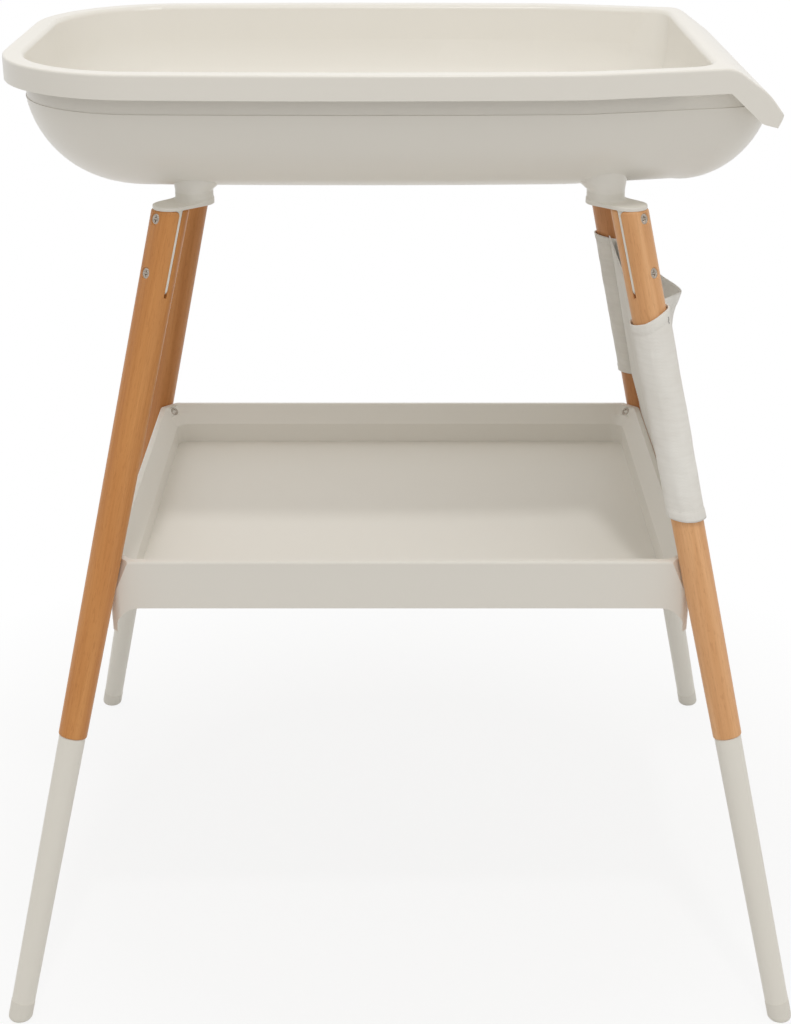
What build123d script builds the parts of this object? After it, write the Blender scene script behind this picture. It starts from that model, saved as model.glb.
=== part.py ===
"""Changing table with a bathtub on four splayed legs, a tray shelf and a fabric pocket.

Millimetres, +Z up. The origin lies on the floor under the middle of the four feet.
+X points to the lowered end of the tub and -Y to the front.
"""
from build123d import *
import os
from math import atan2, cos, degrees, radians, sin, sqrt, tan

os.makedirs("parts", exist_ok=True)

# Stance: the same splay along X and Y, so every leg leans out at 45 degrees in plan
leg_top_height = 822.0
leg_top_x = 221.0
leg_top_y = 160.0
splay_run = 178.4

# Wooden legs: rounded squares at the top that turn round towards the lower end
leg_top_half = 16.9
leg_top_corner = 14.2
leg_end_half = 14.4
leg_end_corner = 14.1
wood_share = 0.6315
leg_top_edge = 3.0
leg_end_edge = 1.6

# Lower legs and foot caps
lower_leg_top_radius = 13.5
lower_leg_end_radius = 12.0
lower_leg_edge = 1.0
foot_cap_height = 20.0
foot_cap_edge = 5.0
foot_cap_radius = 12.3
stud_radius = 4.0
stud_reach = 28.0
foot_peg_radius = 6.0
foot_peg_reach = 22.0

# Brackets: a cap plate on the leg, a fin in its saw cut and a collar under the tub
fin_thickness = 2.6
fin_length = 83.0
fin_corner = 5.0
slot_thickness = 3.2
slot_length = 86.0
fin_inset = 0.3
fin_root_radius = 4.5
fin_root_relief = 0.4
cap_thickness = 3.4
cap_leg_radius = 17.4
cap_edge = 0.8
collar_root = 3.5
stem_offset = 21.0
collar_radius = 18.5
collar_height = 8.5
boss_foot = 1.5
boss_flare_rise = 10.0
boss_flare = 6.0
boss_rise = 42.0
cap_stem_margin = 0.7

# Screws
screw_radius = 3.0
screw_head_radius = 6.0
screw_head_depth = 3.2
screw_length = 29.0
screw_clearance = 0.3
screw_drive_radius = 2.2
screw_drive_depth = 2.0
thread_clearance = 0.05
upper_screw_drop = 13.0
lower_screw_drop = 66.0
tub_screw_bite = 4.6
shelf_screw_radius = 2.5
shelf_screw_head_radius = 5.0
shelf_screw_head_depth = 2.6
shelf_screw_length = 26.0

# Tub rim: outline in plan, its turned-down skirt and the lowered lip at the +X end
tub_depth = 125.0
boss_stand = 1.1
tub_left = 384.5
tub_corner_height = 84.0
tub_left_corner = 142.0
tub_left_angle = 87.5
tub_side_radius = 4640.0
tub_side_angle = 5.0
tub_shoulder_radius = 200.0
tub_shoulder_angle = 11.0
tub_right = 360.0
tub_right_corner = 8.0
rim_depth = 23.0
rim_flange = 4.0
rim_skirt = 5.0
rim_top_edge = 2.2
rim_inner_edge = 5.0
lip_start = 299.5
lip_top_radius = 28.0
lip_slope = 36.0
lip_straight = 27.0
lip_end_radius = 55.0
lip_end_slope = 52.0
lip_end_run = 18.0
lip_throat = 306.5
lip_under_slope = 43.0
lip_under_run = 40.0
lip_under_radius = 16.0
lip_under_end_slope = 16.0
lip_under_end_run = 12.0
channel_end = 276.0

# Bowl below the rim, drawn in towards its bottom and far down at its +X end
bowl_inset = 15.0
bowl_low_inset = 29.0
bowl_right = 362.0
bowl_low_right = 352.0
bowl_right_corner = 52.0
bowl_low_corner = 92.0
bowl_floor_corner_share = 0.8
bowl_neck_drop = 40.0
bowl_neck_recess = 0.8
bowl_wall = 5.0
basin_right = 293.0
basin_low_right = 288.0
basin_right_corner = 30.0
basin_low_corner = 98.0
basin_floor_corner_share = 0.752

# Drain in the tub's floor and its rubber plug
drain_x = 150.0
drain_radius = 17.0
drain_draft = 6.0
drain_boss_radius = 24.0
drain_boss_drop = 12.0
drain_seat_depth = 1.6
plug_clearance = 0.35
plug_flange_radius = 22.0
plug_flange = 2.6
plug_depth = 14.0
plug_grip_radius = 11.0
plug_grip_thickness = 4.5
plug_grip_hole = 5.0

# Shelf tray between the legs, at a drop below the legs' tops
tray_drop = 342.0
tray_height = 52.0
tray_side_inset = 2.2
tray_front_inset = 0.2
tray_corner = 10.0
tray_wall = 3.4
tray_floor_rise = 8.0
tray_floor = 3.0
tray_top_edge = 3.0
tray_lip_inset = 7.0
tray_step_inset = 14.0
tray_step_drop = 10.0
tray_slope_inset = 21.0
tray_slope_drop = 21.0
tray_floor_corner = 14.0
tray_channel_gap = 4.0
tray_corner_wall = 6.0
tray_ear_drop = 26.0
tray_ear_edge = 4.0
tray_screw_drop = 10.0

# Fabric pocket round the two legs at the +X end, from drops below the legs' tops to the tray
cloth = 1.8
cloth_clearance = 0.3
sleeve_top_drop = 109.0
sleeve_above_tray = 45.0
pocket_top_drop = 114.0
pocket_below_tray = 6.0
pocket_bulge = 50.0
panel_top_drop = 118.0
# The pouch's levels from foot to mouth, and how far each bows out of the mouth's bow
pouch_level_shares = (0, 0.37, 0.71, 0.88, 1)
pouch_bulge_shares = (0.1, 0.33, 0.51, 0.72, 1)

# Clearance between a leg and what is fastened beside it, and one overrun for every cut
leg_clearance = 0.3
overrun = 4.0

# Sizes that follow from the legs' tops and the tub's depth
collar_top = leg_top_height + cap_thickness + collar_height
bowl_bottom = collar_top + boss_stand
rim_height = bowl_bottom + tub_depth
bowl_floor_corner = tub_depth * bowl_floor_corner_share
basin_floor_corner = tub_depth * basin_floor_corner_share
tray_top = leg_top_height - tray_drop
tray_bottom = tray_top - tray_height
tray_floor_height = tray_bottom + tray_floor_rise
tray_half_length = leg_top_x + splay_run * tray_drop / leg_top_height - tray_side_inset
tray_half_width = leg_top_y + splay_run * tray_drop / leg_top_height - tray_front_inset
sleeve_bottom_drop = tray_drop - sleeve_above_tray
pocket_bottom_drop = tray_drop + pocket_below_tray

TOP = Vector(-leg_top_x, -leg_top_y, leg_top_height)
FOOT = Vector(-leg_top_x - splay_run, -leg_top_y - splay_run, 0)
AXIS = (TOP - FOOT).normalized()
OUTWARD = Vector(-1, -1, 0).normalized()
ACROSS = AXIS.cross(OUTWARD).normalized()
LEG_LENGTH = (TOP - FOOT).length
wood_length = LEG_LENGTH * wood_share
# The leg's own frame: local X faces out, local Y runs across, local Z climbs the leg
LEG = Plane(origin=TOP, x_dir=ACROSS.cross(AXIS), z_dir=AXIS)
CORNERS = {"front_left": (), "front_right": (Plane.YZ,), "back_left": (Plane.XZ,),
           "back_right": (Plane.YZ, Plane.XZ)}


def to_corner(shape, corner):
    """Carries a piece of the front left corner to another corner."""
    for plane in CORNERS[corner]:
        shape = mirror(shape, about=plane)
    return shape


def at_all_corners(shape):
    return [to_corner(shape, corner) for corner in CORNERS]


def group(pieces):
    """One node of several separate solids."""
    return Compound(children=[piece.solid() for piece in pieces])


def save(shape, name):
    export_step(shape, "parts/" + name + ".step")


def leg_run(height):
    """How far a leg's centre has moved out from its top centre, along X or Y, at a height."""
    return splay_run * (leg_top_height - height) / leg_top_height


def drop_at(height):
    """Distance down the leg from its top centre to a height."""
    return (leg_top_height - height) / AXIS.Z


def leg_half(drop):
    """Half the leg's width at a distance down the wood from its top."""
    return leg_top_half + (leg_end_half - leg_top_half) * drop / wood_length


def leg_section(drop, grow):
    half = leg_half(drop) + grow
    corner = leg_top_corner + (leg_end_corner - leg_top_corner) * drop / wood_length + grow
    return LEG.offset(-drop) * RectangleRounded(half + half, half + half, corner)


def leg_shape(grow, start, end):
    """The leg's tapered body between two distances down the wood."""
    return loft([leg_section(end, grow), leg_section(start, grow)], ruled=True)


def across_bar(radius, reach_from, reach_to, drop):
    """A round bar square to the leg, along its outward direction."""
    base = LEG.offset(-drop) * Plane(origin=(reach_from, 0, 0), z_dir=(1, 0, 0))
    return extrude(base * Circle(radius), reach_to - reach_from)


def across_cone(radius_from, radius_to, reach_from, reach_to, drop):
    start = LEG.offset(-drop) * Plane(origin=(reach_from, 0, 0), z_dir=(1, 0, 0))
    end = LEG.offset(-drop) * Plane(origin=(reach_to, 0, 0), z_dir=(1, 0, 0))
    return loft([start * Circle(radius_from), end * Circle(radius_to)])


def axial_bar(radius, start, end):
    """A round bar along the leg's axis between two distances from its top."""
    return extrude(LEG.offset(-end) * Circle(radius), end - start)


def fin_root(radius, half, reach):
    """The filleted root where the cap plate runs down into the fin, along the saw cut."""
    side = Plane(origin=TOP, x_dir=OUTWARD, z_dir=-ACROSS)
    lean = radius * sqrt(2) * splay_run / leg_top_height
    wide = half + radius
    outline = make_face(Polyline((-wide, overrun), (-wide, 0), (lean - wide, -radius), (lean + wide, -radius),
                                 (wide, 0), (wide, overrun), close=True))
    outline -= Pos(lean - wide, -radius) * Circle(radius)
    outline -= Pos(lean + wide, -radius) * Circle(radius)
    return extrude(side * outline, reach, both=True)


def make_leg():
    """Wooden leg with its saw cut, screw holes and stud bore."""
    leg = leg_shape(0, -leg_top_half, wood_length)
    leg = split(leg, bisect_by=Plane.XY.offset(leg_top_height), keep=Keep.BOTTOM)
    leg = fillet(leg.faces().sort_by(Axis.Z)[-1].edges(), leg_top_edge)
    leg = fillet(leg.faces().sort_by(Axis.Z)[0].edges(), leg_end_edge)
    depth = slot_length + leg_top_half
    wide = leg_top_half + leg_top_half + overrun
    leg -= LEG * Pos(0, 0, depth / 2 - slot_length) * Box(slot_thickness, wide, depth)
    leg -= fin_root(fin_root_radius, slot_thickness / 2 + fin_root_relief, leg_top_half + overrun)
    for drop in (upper_screw_drop, lower_screw_drop):
        half = leg_half(drop)
        leg -= across_bar(screw_radius + screw_clearance, 0, half, drop)
        leg -= across_bar(screw_radius + thread_clearance, half - screw_length - thread_clearance, 0, drop)
        seat = screw_head_depth + screw_clearance
        leg -= across_cone(screw_radius, screw_head_radius + screw_clearance, half - seat, half, drop)
        leg -= across_bar(screw_head_radius + screw_clearance, half, half + overrun, drop)
    leg -= axial_bar(stud_radius + thread_clearance, wood_length - stud_reach - thread_clearance,
                     wood_length + overrun)
    half = leg_half(shelf_drop())
    bite = shelf_screw_length - tray_corner_wall - leg_clearance
    leg -= across_bar(shelf_screw_radius + thread_clearance, -half - overrun, -half + bite + thread_clearance,
                      shelf_drop())
    return leg.solid()


def driven_screw(radius, head_radius, head_depth, length, head_at, side, drop):
    """Countersunk screw along the leg's outward direction, its head facing out or in."""
    inner = head_at - side * head_depth
    tip = head_at - side * length
    shank = across_bar(radius, min(inner, tip), max(inner, tip), drop)
    head = across_cone(radius, head_radius, inner, head_at, drop)
    floor = head_at - side * screw_drive_depth
    drive = across_bar(screw_drive_radius, min(floor, head_at), max(floor, head_at), drop)
    return (shank + head - drive).solid()


def make_leg_screw(drop):
    """Screw from the leg's outer side through the fin into the inner half."""
    return driven_screw(screw_radius, screw_head_radius, screw_head_depth, screw_length, leg_half(drop), 1, drop)


def shelf_drop():
    """Distance down the leg to the tray's corner screw."""
    return drop_at(tray_top - tray_screw_drop)


def corner_face():
    """Distance from the leg's axis to the tray's outer corner face."""
    return leg_half(drop_at(tray_top)) + leg_clearance


def make_shelf_screw():
    """Screw from inside the tray through its corner face into the leg."""
    head_at = -corner_face() - tray_corner_wall
    return driven_screw(shelf_screw_radius, shelf_screw_head_radius, shelf_screw_head_depth,
                        shelf_screw_length, head_at, -1, shelf_drop())


def lower_leg_end():
    """Distance from the leg's top to the seam above the foot cap."""
    return LEG_LENGTH - foot_cap_height / AXIS.Z


def make_lower_leg():
    """White lower leg, screwed on under the wood by a hidden stud."""
    end = lower_leg_end()
    lower = loft([LEG.offset(-end) * Circle(lower_leg_end_radius),
                  LEG.offset(-wood_length) * Circle(lower_leg_top_radius)])
    lower = fillet(lower.faces().sort_by(Axis.Z)[-1].edges(), lower_leg_edge)
    lower -= axial_bar(stud_radius + thread_clearance, wood_length, wood_length + stud_reach + thread_clearance)
    lower -= axial_bar(foot_peg_radius + thread_clearance, end - foot_peg_reach - thread_clearance, end)
    return lower.solid()


def make_foot_cap():
    """Moulded cap with a peg in the lower leg, cut level where it stands."""
    seam = lower_leg_end()
    cap = axial_bar(foot_cap_radius, seam, LEG_LENGTH + foot_cap_radius)
    cap = split(cap, bisect_by=Plane.XY, keep=Keep.TOP)
    cap = fillet(cap.faces().sort_by(Axis.Z)[0].edges(), foot_cap_edge)
    return (cap + axial_bar(foot_peg_radius, seam - foot_peg_reach, seam)).solid()


def make_leg_stud():
    return axial_bar(stud_radius, wood_length - stud_reach, wood_length + stud_reach).solid()


def stem_place(height):
    return Pos(-leg_top_x + stem_offset, -leg_top_y + stem_offset, height)


def fin_outline():
    """The fin's blade, as wide as the leg and rounded at its lower corners."""
    top = leg_half(0) - fin_inset
    low = leg_half(fin_length) - fin_inset
    blade = Polygon((-low, -fin_length), (low, -fin_length), (top, leg_top_half), (-top, leg_top_half),
                    align=None)
    return fillet(blade.vertices().sort_by(Axis.Y)[:2], fin_corner)


def make_collar(outline):
    """Collar with a filleted root, trimmed to the cap plate's outline."""
    root = JernArc((collar_radius, cap_thickness + collar_root), (0, -1), collar_root, 90)
    rest = Polyline(root @ 1, (collar_radius + collar_root, 0), (0, 0), (0, cap_thickness + collar_height),
                    (collar_radius, cap_thickness + collar_height), root @ 0)
    collar = stem_place(leg_top_height) * revolve(Plane.XZ * make_face(root + rest), Axis.Z)
    return collar & extrude(Pos(0, 0, leg_top_height) * outline, cap_thickness + collar_height)


def make_bracket():
    """Cast bracket: cap plate, collar under the tub and fin in the leg's saw cut."""
    leg_end = Pos(-leg_top_x, -leg_top_y) * Circle(cap_leg_radius)
    stem_end = stem_place(0) * Circle(collar_radius + cap_stem_margin)
    outline = make_hull(leg_end.edges() + stem_end.edges())
    plate = extrude(Pos(0, 0, leg_top_height) * outline, cap_thickness)
    plate = fillet(plate.faces().sort_by(Axis.Z)[-1].edges(), cap_edge)
    upright = LEG * Plane(origin=(0, 0, 0), x_dir=(0, 1, 0), z_dir=(1, 0, 0))
    fin = extrude(upright * fin_outline(), fin_thickness / 2, both=True)
    fin += fin_root(fin_root_radius, fin_thickness / 2, leg_half(0) - fin_inset - fin_root_relief)
    fin = split(fin, bisect_by=Plane.XY.offset(leg_top_height + cap_thickness / 2), keep=Keep.BOTTOM)
    bracket = plate + make_collar(outline) + fin
    for drop in (upper_screw_drop, lower_screw_drop):
        bracket -= across_bar(screw_radius + screw_clearance, -fin_thickness, fin_thickness, drop)
    bottom_up = (Align.CENTER, Align.CENTER, Align.MIN)
    bracket -= stem_place(leg_top_height) * Cylinder(
        screw_radius + screw_clearance, cap_thickness + collar_height, align=bottom_up)
    seat = screw_head_depth + screw_clearance
    bracket -= stem_place(leg_top_height) * Cone(screw_head_radius + screw_clearance, screw_radius, seat,
                                                 align=bottom_up)
    return bracket.solid()


def make_tub_screw():
    """Screw from below through the collar into the tub's boss."""
    bottom_up = (Align.CENTER, Align.CENTER, Align.MIN)
    reach = cap_thickness + collar_height + tub_screw_bite
    head = Cone(screw_head_radius, screw_radius, screw_head_depth, align=bottom_up)
    screw = head + Cylinder(screw_radius, reach, align=bottom_up)
    screw -= Cylinder(screw_drive_radius, screw_drive_depth, align=bottom_up)
    return (stem_place(leg_top_height) * screw).solid()


def tub_outline(inset, right, right_corner):
    """The tub's plan outline moved in by an inset and cut off at its +X end."""
    start = Vector(-tub_left + inset, 0)
    flank = Line(start, (start.X, tub_corner_height))
    corner = JernArc(flank @ 1, flank % 1, tub_left_corner - inset, -tub_left_angle)
    side = JernArc(corner @ 1, corner % 1, tub_side_radius - inset, -tub_side_angle)
    shoulder = JernArc(side @ 1, side % 1, tub_shoulder_radius - inset, -tub_shoulder_angle)
    taper = Line(shoulder @ 1, shoulder @ 1 + (shoulder % 1) * tub_left)
    end = taper @ 1
    closing = Polyline(end, (end.X, 0), start)
    half = make_face(flank + corner + side + shoulder + taper + closing)
    whole = half + mirror(half, about=Plane.XZ)
    length = tub_left + tub_left
    whole &= Pos(right - tub_left, 0) * Rectangle(length, length)
    return fillet(whole.vertices().group_by(Axis.X)[-1], right_corner)


def slope_down(angle):
    return Vector(cos(radians(angle)), -sin(radians(angle)))


def lip_top():
    """Side view of the tub's top line: level rim, crest, fall and the turned-down end."""
    top = Line((-tub_left - overrun, rim_height), (lip_start, rim_height))
    fall = JernArc(top @ 1, top % 1, lip_top_radius, -lip_slope)
    slope = Line(fall @ 1, fall @ 1 + (fall % 1) * lip_straight)
    turn = JernArc(slope @ 1, slope % 1, lip_end_radius, lip_slope - lip_end_slope)
    return top, fall, slope, turn, Line(turn @ 1, turn @ 1 + slope_down(lip_end_slope) * lip_end_run)


def band_profile():
    """Side view of the rim band with its lowered lip."""
    top, fall, slope, turn, run_out = lip_top()
    low = rim_height - rim_depth
    throat = Vector(lip_throat, low)
    under = Line(throat, throat + slope_down(lip_under_slope) * lip_under_run)
    under_flare = JernArc(under @ 1, under % 1, lip_under_radius, lip_under_slope - lip_under_end_slope)
    under_end = under_flare @ 1 + slope_down(lip_under_end_slope) * lip_under_end_run
    rest = Polyline(run_out @ 1, under_end, under_flare @ 1)
    base = Polyline(throat, (-tub_left - overrun, low), (-tub_left - overrun, rim_height))
    return make_face(top + fall + slope + turn + run_out + rest + under_flare + under + base)


def below_profile():
    """Side view of all that may lie below the tub's top line."""
    top, fall, slope, turn, run_out = lip_top()
    end = run_out @ 1
    start = top @ 0
    rest = Polyline(end, (end.X, bowl_bottom - tub_depth), (start.X, bowl_bottom - tub_depth), start)
    return make_face(top + fall + slope + turn + run_out + rest)


def make_rim():
    """Flat rim band with a turned-down skirt, running out in the lowered lip."""
    depth = rim_depth + rim_depth + rim_depth
    plan = Pos(0, 0, rim_height - depth) * tub_outline(0, tub_right, tub_right_corner)
    band = extrude(plan, depth + overrun)
    band &= extrude(Plane.XZ * band_profile(), tub_left, both=True)
    steep_share = 0.5
    upper = [face for face in band.faces() if face.normal_at().Z > steep_share]
    walls = [face for face in band.faces() if abs(face.normal_at().Z) < steep_share]
    upper_edges = [edge for face in upper for edge in face.edges()]
    wall_edges = [edge for face in walls for edge in face.edges()]
    outer = [edge for edge in upper_edges if any(edge.is_same(other) for other in wall_edges)]
    band = fillet(ShapeList(outer), rim_top_edge)
    hollow = tub_outline(rim_skirt, channel_end, bowl_right_corner)
    return band - extrude(Pos(0, 0, rim_height - depth) * hollow, depth - rim_flange)


def bowl_shape(low, low_outline, top_outline, floor_corner):
    """A bowl drawn in towards its bottom, with a round bottom edge, up to the rim's top."""
    bowl = loft([Pos(0, 0, low) * low_outline, Pos(0, 0, rim_height) * top_outline], ruled=True)
    return fillet(bowl.faces().sort_by(Axis.Z)[0].edges(), floor_corner)


def make_bowl():
    """The bowl's outer shape, under the rim and the lip, with its shoulder line."""
    bowl = bowl_shape(bowl_bottom, tub_outline(bowl_low_inset, bowl_low_right, bowl_low_corner),
                      tub_outline(bowl_inset, bowl_right, bowl_right_corner), bowl_floor_corner)
    bowl &= extrude(Plane.XZ * below_profile(), tub_left, both=True)
    bowl = split(bowl, bisect_by=Plane.XY.offset(rim_height - rim_flange / 2), keep=Keep.BOTTOM)
    share = bowl_neck_drop / tub_depth
    inset = bowl_inset + (bowl_low_inset - bowl_inset) * share + bowl_neck_recess
    right = bowl_right + (bowl_low_right - bowl_right) * share - bowl_neck_recess
    corner = bowl_right_corner + (bowl_low_corner - bowl_right_corner) * share
    ring = tub_outline(0, tub_right, tub_right_corner) - tub_outline(inset, right, corner)
    return bowl - extrude(Pos(0, 0, rim_height - bowl_neck_drop) * ring, bowl_neck_drop - rim_depth)


def make_basin():
    """The hollow that holds the water."""
    return bowl_shape(basin_floor(), tub_outline(bowl_low_inset + bowl_wall, basin_low_right, basin_low_corner),
                      tub_outline(bowl_inset + bowl_wall, basin_right, basin_right_corner), basin_floor_corner)


def boss():
    """Boss under the tub, flat on a bracket's collar and flared towards the tub's middle."""
    shift = boss_flare / sqrt(2)
    wide = collar_radius + boss_flare
    levels = ((0, collar_radius, 0), (boss_foot, collar_radius, 0), (boss_flare_rise, wide, shift),
              (boss_rise, wide, shift))
    slices = [Pos(move, move, rise) * Circle(radius) for rise, radius, move in levels]
    return stem_place(collar_top) * loft(slices, ruled=True)


def basin_floor():
    return bowl_bottom + bowl_wall


def drain_bore():
    """Seat and tapered bore through the tub's floor."""
    bottom = bowl_bottom - drain_boss_drop
    seat = basin_floor() - drain_seat_depth
    narrow = drain_radius - (seat - bottom) * tan(radians(drain_draft))
    wide = plug_flange_radius + plug_clearance
    outline = Polyline((0, bottom), (narrow, bottom), (drain_radius, seat), (wide, seat),
                       (wide, basin_floor() + overrun), (0, basin_floor() + overrun), close=True)
    return Pos(drain_x, 0) * revolve(Plane.XZ * make_face(outline), Axis.Z)


def make_tub():
    """Moulded tub: rim with lip, thin bowl, four bosses and a drain."""
    bowl = make_bowl()
    bottom_up = (Align.CENTER, Align.CENTER, Align.MIN)
    for piece in at_all_corners(boss()):
        bowl += piece
    drain_place = Pos(drain_x, 0, bowl_bottom - drain_boss_drop)
    bowl += drain_place * Cylinder(drain_boss_radius, drain_boss_drop + bowl_wall / 2, align=bottom_up)
    tub = bowl + make_rim() - make_basin()
    top_face = tub.faces().filter_by(Plane.XY).sort_by(Axis.Z)[-1]
    tub = fillet(top_face.inner_wires()[0].edges(), rim_inner_edge)
    tub -= drain_bore()
    bore = stem_place(collar_top) * Cylinder(screw_radius + thread_clearance, tub_screw_bite + thread_clearance,
                                             align=bottom_up)
    for tool in at_all_corners(bore):
        tub -= tool
    return tub.solid()


def make_plug():
    """Rubber plug: flange on the seat, tapered stopper and a finger grip."""
    seat = basin_floor() - drain_seat_depth
    wide = drain_radius - plug_clearance
    narrow = wide - plug_depth * tan(radians(drain_draft))
    outline = Polyline((0, seat - plug_depth), (narrow, seat - plug_depth), (wide, seat),
                       (plug_flange_radius, seat), (plug_flange_radius, seat + plug_flange),
                       (0, seat + plug_flange), close=True)
    plug = revolve(Plane.XZ * make_face(outline), Axis.Z)
    grip = Circle(plug_grip_radius) - Circle(plug_grip_hole)
    grip_place = Pos(0, 0, seat + plug_flange + plug_grip_hole + plug_flange)
    plug += grip_place * extrude(Plane.YZ * grip, plug_grip_thickness / 2, both=True)
    below = Plane.XY.offset(seat - plug_depth)
    return Pos(drain_x, 0) * split(plug, bisect_by=below, keep=Keep.TOP).solid()


def tray_plan(inset, corner):
    half_length = tray_half_length - inset
    half_width = tray_half_width - inset
    return RectangleRounded(half_length + half_length, half_width + half_width, corner)


def tapered_hollow(low_inset, low, high_inset, high):
    """A hollow that widens upwards between two insets of the tray's plan."""
    angle = degrees(atan2(low_inset - high_inset, high - low))
    return extrude(Pos(0, 0, low) * tray_plan(low_inset, tray_floor_corner), high - low, taper=-angle)


def corner_blocks(wall):
    """Blocks beyond the tray's four corner faces, moved inwards by a wall."""
    long = tray_half_width
    face = -corner_face() - wall
    block = LEG.offset(-shelf_drop()) * Pos(face + long / 2, 0, 0) * Box(long, long, long)
    return at_all_corners(block)


def ear_profile(half_span):
    """Front view of an ear that hangs from the tray's corner and runs out along the leg."""
    sweep_end = half_span - tray_ear_edge - tray_ear_drop
    low = tray_bottom - tray_ear_drop
    block = Polyline((-half_span, low), (-sweep_end, low), (-sweep_end, tray_bottom + overrun),
                     (-half_span, tray_bottom + overrun), close=True)
    return make_face(block) - Pos(-sweep_end, low) * Circle(tray_ear_drop)


def make_ears():
    """The two ears of one tray corner, on the apron and on the side."""
    front = extrude(Plane.XZ.offset(tray_half_width - tray_corner_wall) * ear_profile(tray_half_length),
                    tray_corner_wall)
    turned = Plane(origin=(-tray_half_length + tray_corner_wall, 0, 0), x_dir=(0, 1, 0), z_dir=(1, 0, 0))
    side = extrude(turned * ear_profile(tray_half_width), -tray_corner_wall)
    return front + side


def make_tray():
    """Moulded tray: apron, stepped walls, floor, corner faces on the legs and ears."""
    tray = extrude(Pos(0, 0, tray_bottom) * tray_plan(0, tray_corner), tray_top - tray_bottom)
    tray = fillet(tray.faces().sort_by(Axis.Z)[-1].edges(), tray_top_edge)
    low = tray_bottom - tray_ear_drop
    envelope = extrude(Pos(0, 0, low) * tray_plan(0, tray_corner), tray_top - low)
    for ears in at_all_corners(make_ears()):
        tray += ears & envelope
    for block in corner_blocks(0):
        tray -= block
    step = tray_top - tray_step_drop
    slope = tray_top - tray_slope_drop
    hollow = tapered_hollow(tray_step_inset, step, tray_lip_inset, tray_top)
    hollow += tapered_hollow(tray_slope_inset, slope, tray_step_inset, step)
    hollow += tapered_hollow(tray_slope_inset, tray_floor_height, tray_slope_inset, slope)
    underside = tray_floor_height - tray_floor
    below = extrude(Pos(0, 0, tray_bottom) * tray_plan(tray_wall, tray_corner), underside - tray_bottom)
    ring = tray_plan(tray_wall, tray_corner) - tray_plan(tray_slope_inset - tray_wall, tray_floor_corner)
    below += extrude(Pos(0, 0, underside) * ring, slope - tray_channel_gap - underside)
    for block in corner_blocks(tray_corner_wall):
        hollow -= block
        below -= block
    tray = tray - hollow - below
    seat = shelf_screw_head_depth + screw_clearance
    head_at = -corner_face() - tray_corner_wall
    bore = across_bar(shelf_screw_radius + screw_clearance, head_at, -corner_face() + overrun, shelf_drop())
    bore += across_cone(shelf_screw_head_radius + screw_clearance, shelf_screw_radius, head_at, head_at + seat,
                        shelf_drop())
    bore += across_bar(shelf_screw_head_radius + screw_clearance, head_at - overrun, head_at, shelf_drop())
    for tool in at_all_corners(bore):
        tray -= tool
    return tray.solid()


def make_sleeve():
    """Cloth sleeve round one leg."""
    start = drop_at(leg_top_height - sleeve_top_drop)
    end = drop_at(leg_top_height - sleeve_bottom_drop)
    outer = leg_shape(cloth_clearance + cloth, start, end)
    return (outer - leg_shape(cloth_clearance, start - overrun, end + overrun)).solid()


def side_frame(height):
    """Plane across the two right legs at a height: local X along -Y, local Y outwards."""
    up = Vector(-splay_run, 0, leg_top_height).normalized()
    return Plane(origin=(leg_top_x + leg_run(height), 0, height), x_dir=(0, -1, 0), z_dir=up)


def panel_half(height):
    """Half the distance between the two sleeves at a height."""
    drop = drop_at(height)
    corner = leg_top_corner + (leg_end_corner - leg_top_corner) * drop / wood_length
    reach = (leg_half(drop) - corner) * sqrt(2) + corner + cloth_clearance + cloth + cloth_clearance
    return leg_top_y + leg_run(height) - reach / AXIS.Z


def make_panel():
    """Flat inner panel of the pocket between the two legs."""
    slices = []
    for drop in (pocket_bottom_drop, panel_top_drop):
        height = leg_top_height - drop
        half = panel_half(height)
        slices.append(side_frame(height) * Pos(0, -cloth / 2) * Rectangle(half + half, cloth))
    return loft(slices, ruled=True).solid()


def pouch_section(drop, bulge, trim, back):
    """One level of the pouch: a bow between the sleeves, closed behind by a straight line."""
    height = leg_top_height - drop
    half = panel_half(height) - trim
    front = ThreePointArc((-half, 0), (0, bulge - trim), (half, 0))
    rest = Polyline((half, 0), (half, -back), (-half, -back), (-half, 0)) if back else Line((half, 0), (-half, 0))
    return side_frame(height) * Pos(0, cloth_clearance) * make_face(front + rest)


def make_pouch():
    """Outer panel of the pocket, loose at its mouth and flat at its foot."""
    run = pocket_bottom_drop - pocket_top_drop
    drops = [pocket_bottom_drop - run * share for share in pouch_level_shares]
    bulges = [pocket_bulge * share for share in pouch_bulge_shares]
    outer = loft([pouch_section(drop, bulge, 0, 0) for drop, bulge in zip(drops, bulges)], ruled=True)
    drops[0] -= cloth
    drops[-1] -= overrun
    inner = loft([pouch_section(drop, bulge, cloth, overrun) for drop, bulge in zip(drops, bulges)], ruled=True)
    return (outer - inner).solid()


save(make_tub(), "tub")
save(make_plug(), "drain_plug")
save(group(at_all_corners(make_tub_screw())), "tub_screws")
leg = make_leg()
bracket = make_bracket()
lower_leg = make_lower_leg()
foot_cap = make_foot_cap()
for corner in CORNERS:
    save(to_corner(leg, corner), "leg_" + corner)
    save(to_corner(bracket, corner), "bracket_" + corner)
    save(to_corner(lower_leg, corner), "lower_leg_" + corner)
    save(to_corner(foot_cap, corner), "foot_cap_" + corner)
leg_screws = at_all_corners(make_leg_screw(upper_screw_drop)) + at_all_corners(make_leg_screw(lower_screw_drop))
save(group(leg_screws), "leg_screws")
save(group(at_all_corners(make_leg_stud())), "leg_studs")
save(make_tray(), "shelf_tray")
save(group(at_all_corners(make_shelf_screw())), "shelf_screws")
sleeve = make_sleeve()
save(to_corner(sleeve, "front_right"), "pocket_sleeve_front")
save(to_corner(sleeve, "back_right"), "pocket_sleeve_back")
save(make_panel(), "pocket_panel")
save(make_pouch(), "pocket_pouch")
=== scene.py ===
from math import cos, pi, radians, sin, sqrt

import bmesh
import bpy
from mathutils import Euler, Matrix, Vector
from mathutils import noise as mnoise


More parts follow.
